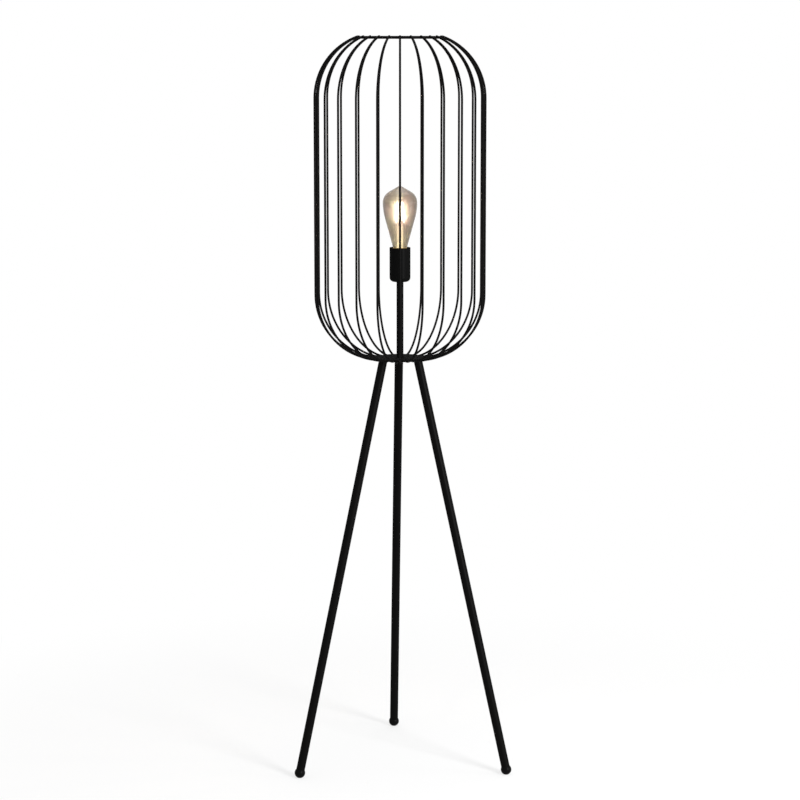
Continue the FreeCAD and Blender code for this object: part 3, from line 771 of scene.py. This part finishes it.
@dataclass
class Holder:
    """The lampholder on top of the stem."""

    shell_wall: float = 0.3 * MM
    running_gap: float = 0.1 * MM
    collar: float = 2.0 * MM

    def shell(self) -> bpy.types.Object:
        """The threaded shell, in place of the plain one.

        Returns:
            The shell's piece.
        """
        low, high = (corner.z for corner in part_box("holder_thread_shell"))
        thread = Thread(CAP_THREAD.crest + self.running_gap, CAP_THREAD.depth, CAP_THREAD.pitch,
                        rounded=True, steps=CAP_THREAD.steps)
        surface = thread.surface(low + self.collar, high - self.collar)
        grow_rim(surface, low + self.collar, thread.crest, low)
        grow_rim(surface, high - self.collar, thread.crest, high)
        piece = finished("holder_threaded_shell", tidied(surface), Body.LAMP, BRASS,
                         ["holder_thread_shell"])
        thicken(piece, self.shell_wall, outwards=True)
        return piece

    def build(self) -> None:
        """Dress the holder's pieces and thread its shell."""
        dress(["holder_sleeve"], LACQUER)
        dress(["holder_cap", "holder_body"], PHENOLIC)
        dress(["holder_contact_block"], STEATITE)
        dress(["holder_centre_contact", "holder_terminals"], BRASS)
        dress(["holder_terminal_screws"], ZINC)
        self.shell()


@dataclass
class Bulb:
    """The lit filament bulb. Its outline is that of the glass in the construction model."""

    GLASS: ClassVar[str] = "bulb_blown_glass"

    wall: float = 0.9 * MM
    neck_radius: float = 13.4 * MM
    tail_radius: float = 12.2 * MM
    flank_angle: float = 15.4
    flank_bend: float = 111.0 * MM
    shoulder_bend: float = 23.0 * MM
    crown_slope: float = 30.0
    tip_bend: float = 4.4 * MM
    tube_radius: float = 5.0 * MM
    rod_radius: float = 1.3 * MM
    phosphor_radius: float = 1.2 * MM
    tab_length: float = 2.2 * MM
    tab_radius: float = 0.6 * MM
    pinch_gap: float = 7.0 * MM
    pinch_length: float = 10.0 * MM
    pinch_round: float = 2.0 * MM
    pinch_flatness: float = 0.5
    flare_rise: float = 10.0 * MM
    flare_past_foot: float = 3.0 * MM
    knob_radius: float = 2.0 * MM
    cap_collar: float = 2.4 * MM
    cap_step: float = 0.8 * MM
    cap_foot: float = 4.0 * MM
    cap_lip: float = 0.4 * MM
    cap_wall: float = 0.3 * MM
    lamp_power: float = 4.0
    lamp_radius: float = 8.0 * MM
    lamp_colour: str = "#FFEBD0"

    def glass_outline(self, inset: float) -> Outline:
        """The outline from the tail in the cap to the tip, or the parallel one inside it.

        Args:
            inset: How far inside the outer outline.

        Returns:
            The outline.
        """
        tail_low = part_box("bulb_glass")[0].z
        cap_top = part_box("bulb_screw_cap")[1].z
        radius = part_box("bulb_glass")[1].x
        lean = math.radians(self.flank_angle)
        slope = math.radians(self.crown_slope)
        neck_low = cap_top + self.neck_radius - self.tail_radius
        flank_run = radius - self.flank_bend * (1 - math.cos(lean)) - self.neck_radius
        flank_rise = flank_run / math.tan(lean)
        widest = neck_low + flank_rise + self.flank_bend * math.sin(lean)
        flank = self.flank_bend - inset
        flank_top = (radius - self.flank_bend + flank * math.cos(lean),
                     widest - flank * math.sin(lean))
        neck = self.neck_radius - inset
        crown_z = widest + self.shoulder_bend * math.cos(slope)
        crown_r = radius - self.shoulder_bend + self.shoulder_bend * math.sin(slope)
        tip_z = (crown_z + (crown_r - self.tip_bend * math.sin(slope)) * math.tan(slope)
                 - self.tip_bend * math.cos(slope))
        outline = Outline((self.tail_radius - inset, tail_low), (self.tail_radius - inset, cap_top))
        outline.line((neck, flank_top[1] - (flank_top[0] - neck) / math.tan(lean)))
        outline.arc((radius - self.flank_bend, widest), flank, -self.flank_angle, 0, 16)
        outline.arc((radius - self.shoulder_bend, widest), self.shoulder_bend - inset,
                    0, 90 - self.crown_slope, 16)
        outline.arc((0, tip_z), self.tip_bend - inset, 90 - self.crown_slope, 90, 8)
        return outline

    def glass(self) -> None:
        """The blown glass, with its real wall."""
        outer = self.glass_outline(0)
        inner = self.glass_outline(self.wall)
        outer.points = outer.points[::-1] + inner.points
        piece = finished(self.GLASS, lathe(outer, 128), Body.BULB,
                         AMBER_GLASS, ["bulb_glass"], crease=50)
        piece.visible_shadow = False

    def stem_glass(self) -> None:
        """The glass stem: a flared foot in the neck, a tube, the flattened pinch and a rod."""
        low, high = (corner.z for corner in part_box("bulb_mount"))
        foot_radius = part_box("bulb_mount")[1].x
        tube = self.tube_radius
        pinch_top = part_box("bulb_filaments")[0].z - self.pinch_gap
        pinch_low = pinch_top - self.pinch_length
        flare_centre = foot_radius + self.flare_past_foot
        outline = Outline((0, low + self.wall), (foot_radius - self.wall, low), (foot_radius, low))
        outline.arc((flare_centre, low + self.flare_rise), flare_centre - tube, 250, 180, 8)
        outline.line((tube, pinch_low))
        outline.arc((tube - self.pinch_round, pinch_top - self.pinch_round), self.pinch_round,
                    0, 90, 4)
        outline.line((self.rod_radius, pinch_top + self.pinch_round / 2),
                     (self.rod_radius, high - 1.5 * self.knob_radius))
        outline.arc((0, high - self.knob_radius), self.knob_radius, -40, 90, 8)
        shape = lathe(outline, 48)
        span = pinch_top - pinch_low
        for vert in shape.verts:
            share = min(max((vert.co.z - pinch_low) / span, 0), 1)
            if vert.co.z < pinch_top + 0.5 * MM:
                vert.co.y *= 1 - self.pinch_flatness * share
        piece = finished("bulb_glass_stem", shape, Body.BULB, STEM_GLASS,
                         ["bulb_mount"], crease=60)
        piece.visible_shadow = False

    def rod_places(self) -> list[Matrix]:
        """Where the filaments lie: a matrix for each, from its lower end up along its length."""
        source = [v.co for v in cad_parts["bulb_filaments"].data.vertices]
        middle = (min(p.z for p in source) + max(p.z for p in source)) / 2
        places = []
        for quarter in range(4):
            mine = [p for p in source if self.quarter_of(p) == quarter]
            upper = [p for p in mine if p.z > middle]
            lower = [p for p in mine if p.z <= middle]
            top = sum(upper, Vector()) / len(upper)
            bottom = sum(lower, Vector()) / len(lower)
            turn = UP.rotation_difference(top - bottom).to_matrix().to_4x4()
            places.append(Matrix.Translation(bottom) @ turn @ Matrix.Diagonal(
                (1, 1, (top - bottom).length, 1)))
        return places

    def quarter_of(self, point: Vector) -> int:
        """Which quarter round the axis a point lies in."""
        return int(math.floor(math.atan2(point.y, point.x) / (math.pi / 2))) % 4

    def filaments(self) -> None:
        """The four coated rods and the metal tabs at their ends."""
        rods, tabs = [], []
        for place in self.rod_places():
            length = place.to_scale().z
            upright = place @ Matrix.Diagonal((1, 1, 1 / length, 1))
            inner = length - self.tab_length
            rod = Outline((0, self.tab_length - self.phosphor_radius))
            rod.arc((0, self.tab_length), self.phosphor_radius, -90, 0, 6)
            rod.arc((0, inner), self.phosphor_radius, 0, 90, 6)
            rods.append(moved(lathe(rod, 20), upright))
            for start, end in ((0, self.tab_length), (inner, length)):
                tab = Outline((0, start), (self.tab_radius, start), (self.tab_radius, end),
                              (0, end))
                tabs.append(moved(lathe(tab, 12), upright))
        finished("bulb_lit_rods", joined(rods), Body.BULB, PHOSPHOR,
                 ["bulb_filaments"])
        finished("bulb_rod_tabs", joined(tabs), Body.BULB, NICKEL)

    def cap(self) -> None:
        """The screw cap with its rolled thread."""
        low, high = (corner.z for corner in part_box("bulb_screw_cap"))
        lip_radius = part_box("bulb_insulator")[1].x + self.cap_lip
        thread_low, thread_high = low + self.cap_foot, high - self.cap_collar
        crest, root = CAP_THREAD.crest, CAP_THREAD.crest - CAP_THREAD.depth
        surface = CAP_THREAD.surface(thread_low, thread_high)
        grow_rim(surface, thread_high, crest, thread_high + self.cap_step)
        grow_rim(surface, thread_high + self.cap_step, crest, high)
        grow_rim(surface, thread_low, root, thread_low - self.cap_step)
        grow_rim(surface, thread_low - self.cap_step, lip_radius, low)
        piece = finished("bulb_threaded_cap", tidied(surface), Body.BULB, BRASS,
                         ["bulb_screw_cap"])
        thicken(piece, self.cap_wall, outwards=False)

    def light(self) -> None:
        """The light that the lit rods throw on the cage."""
        low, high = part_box("bulb_filaments")
        data = bpy.data.lights.new("bulb_light", "POINT")
        data.energy = self.lamp_power
        data.color = srgb(self.lamp_colour)[:3]
        data.shadow_soft_size = self.lamp_radius
        lamp = bpy.data.objects.new("bulb_light", data)
        lamp.location = (low + high) / 2
        lamp.visible_camera = False
        lamp.visible_transmission = False
        lamp.visible_glossy = False
        bpy.context.scene.collection.objects.link(lamp)
        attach(lamp, Body.BULB.value)

    def build(self) -> None:
        """Build and dress the bulb."""
        dress(["bulb_insulator"], BLACK_BEAD)
        dress(["bulb_tip_contact"], SOLDER)
        dress(["bulb_lead_wires"], NICKEL)
        self.glass()
        self.stem_glass()
        self.filaments()
        self.cap()
        self.light()


# ---------------------------------------------------------------- studio
class Link(Enum):
    """How a lamp's light is kept off the bulb's glass, or on it alone."""

    SPARES_GLASS = "EXCLUDE"
    GLASS_ONLY = "INCLUDE"


@dataclass(frozen=True)
class Softbox:
    """An oblong soft lamp that faces the middle of the object: place and size in metres, watts."""

    name: str
    place: tuple[float, float, float]
    size: tuple[float, float]
    power: float
    link: Link | None = None
    aim: tuple[float, float, float] = (0.0, 0.0, 0.8)

    def build(self) -> None:
        """Hang the lamp."""
        data = bpy.data.lights.new(self.name, "AREA")
        data.shape = "RECTANGLE"
        data.size, data.size_y = self.size
        data.energy = self.power
        lamp = bpy.data.objects.new(self.name, data)
        lamp.location = self.place
        heading = Vector(self.aim) - Vector(self.place)
        lamp.rotation_euler = heading.to_track_quat("-Z", "Y").to_euler()
        lamp.visible_camera = False
        lamp.visible_transmission = False
        bpy.context.scene.collection.objects.link(lamp)
        if self.link:
            receivers = bpy.data.collections.new(self.name + "_receivers")
            receivers.objects.link(bpy.data.objects[Bulb.GLASS])
            receivers.collection_objects[0].light_linking.link_state = self.link.value
            lamp.light_linking.receiver_collection = receivers


# The mist in the bulb's glass would burn out white where the key shines through it from the far
# side, so the key is flagged off the glass, and a weaker lamp in its place lights that alone.
KEY_PLACE, KEY_SIZE = (2.0, -2.7, 1.5), (0.9, 1.8)
SOFTBOXES = (Softbox("key", KEY_PLACE, KEY_SIZE, 150, Link.SPARES_GLASS),
             Softbox("glass_key", KEY_PLACE, KEY_SIZE, 12, Link.GLASS_ONLY),
             Softbox("side", (3.0, -0.7, 0.9), (0.9, 1.6), 20),
             Softbox("fill", (-2.2, -2.0, 1.6), (1.8, 1.8), 6),
             Softbox("overhead", (0.2, 0.6, 3.2), (1.8, 1.8), 30))


@dataclass
class Studio:
    """A plain pale floor, soft lamps, a white surround and the camera at the photograph's view."""

    floor_radius: float = 40.0
    fade_start: float = 0.3
    fade_end: float = 1.3
    paper_glow: float = 0.7
    camera_distance: float = 4.5287
    camera_height: float = 1.3873
    camera_azimuth: float = -3.11
    camera_dip: float = 8.663
    sensor: float = 36.0
    focal_pixels: float = 2434.4
    picture_pixels: float = 800.0
    world_light: float = 0.35

    def floor(self) -> None:
        """The floor, a wide disc that fades to white away from the lamp."""
        shape = bmesh.new()
        bmesh.ops.create_circle(shape, cap_ends=True, segments=96, radius=self.floor_radius)
        mesh = bpy.data.meshes.new("floor")
        shape.to_mesh(mesh)
        shape.free()
        mesh.materials.append(self.floor_material())
        floor = bpy.data.objects.new("floor", mesh)
        bpy.context.scene.collection.objects.link(floor)

    def seen_directly(self, tree: bpy.types.NodeTree) -> bpy.types.NodeSocket:
        """1 for camera, glossy and transmission rays and 0 for the light that falls on the lamp.

        Args:
            tree: The node tree.

        Returns:
            The output with that value.
        """
        path = add_node(tree, "ShaderNodeLightPath")
        first = add_node(tree, "ShaderNodeMath", {"operation": "MAXIMUM"}, {
            0: path.outputs["Is Camera Ray"], 1: path.outputs["Is Glossy Ray"]})
        return add_node(tree, "ShaderNodeMath", {"operation": "MAXIMUM"}, {
            0: first.outputs["Value"], 1: path.outputs["Is Transmission Ray"]}).outputs["Value"]

    def floor_material(self) -> bpy.types.Material:
        """Matt white paper: it takes the lamp's shadow near by and is plain white far away.

        It can be seen through from below, so that the lamp's underside can be looked at.

        Returns:
            The material.
        """
        material = empty_material("matt_white_paper")
        tree = material.node_tree
        place = add_node(tree, "ShaderNodeTexCoord").outputs["Object"]
        distance = add_node(tree, "ShaderNodeVectorMath", {"operation": "LENGTH"}, {0: place})
        fade = add_node(tree, "ShaderNodeMapRange", {"interpolation_type": "SMOOTHSTEP"}, {
            "Value": distance.outputs["Value"], "From Min": self.fade_start,
            "From Max": self.fade_end, "To Min": self.paper_glow, "To Max": 1.0})
        share = add_node(tree, "ShaderNodeMath", {"operation": "MULTIPLY"}, {
            0: fade.outputs["Result"], 1: self.seen_directly(tree)})
        paper = add_node(tree, "ShaderNodeBsdfDiffuse", None, {"Color": srgb("#F6F6F6")})
        white = add_node(tree, "ShaderNodeEmission", None, {
            "Color": srgb("#FFFFFF"), "Strength": 1.0})
        mixed = add_node(tree, "ShaderNodeMixShader", None, {
            0: share.outputs["Value"], 1: paper.outputs["BSDF"], 2: white.outputs["Emission"]})
        below = add_node(tree, "ShaderNodeNewGeometry").outputs["Backfacing"]
        clear = add_node(tree, "ShaderNodeBsdfTransparent").outputs["BSDF"]
        one_sided = add_node(tree, "ShaderNodeMixShader", None, {
            0: below, 1: mixed.outputs["Shader"], 2: clear})
        add_node(tree, "ShaderNodeOutputMaterial", None, {"Surface": one_sided.outputs["Shader"]})
        return material

    def world(self) -> None:
        """A soft even surround that is white where it is seen."""
        world = bpy.data.worlds.new("surround")
        world.use_nodes = True
        tree = world.node_tree
        tree.nodes.clear()
        soft = add_node(tree, "ShaderNodeBackground", None, {
            "Color": srgb("#FFFFFF"), "Strength": self.world_light})
        white = add_node(tree, "ShaderNodeBackground", None, {
            "Color": srgb("#FFFFFF"), "Strength": 1.0})
        mixed = add_node(tree, "ShaderNodeMixShader", None, {
            0: self.seen_directly(tree), 1: soft.outputs["Background"],
            2: white.outputs["Background"]})
        add_node(tree, "ShaderNodeOutputWorld", None, {"Surface": mixed.outputs["Shader"]})
        bpy.context.scene.world = world

    def camera(self) -> None:
        """The camera, at the photograph's place, tilt and field of view."""
        data = bpy.data.cameras.new("camera")
        data.sensor_width = self.sensor
        data.lens = self.focal_pixels / self.picture_pixels * self.sensor
        data.clip_end = 4 * self.floor_radius
        camera = bpy.data.objects.new("camera", data)
        azimuth = math.radians(self.camera_azimuth)
        camera.location = (self.camera_distance * math.sin(azimuth),
                           -self.camera_distance * math.cos(azimuth), self.camera_height)
        camera.rotation_euler = (math.radians(90 - self.camera_dip), 0, azimuth)
        bpy.context.scene.collection.objects.link(camera)
        bpy.context.scene.camera = camera

    def build(self) -> None:
        """Set the stage."""
        bpy.context.scene.view_settings.view_transform = "Standard"
        self.floor()
        self.world()
        for softbox in SOFTBOXES:
            softbox.build()
        self.camera()


def main() -> None:
    """Build every sub-assembly in order."""
    logging.basicConfig(level=logging.INFO, format="%(message)s")
    for part in (Cage(), Tripod(), Stem(), Holder(), Bulb(), Studio()):
        part.build()
        log.info("%s is done", type(part).__name__)


if __name__ == "__main__":
    main()
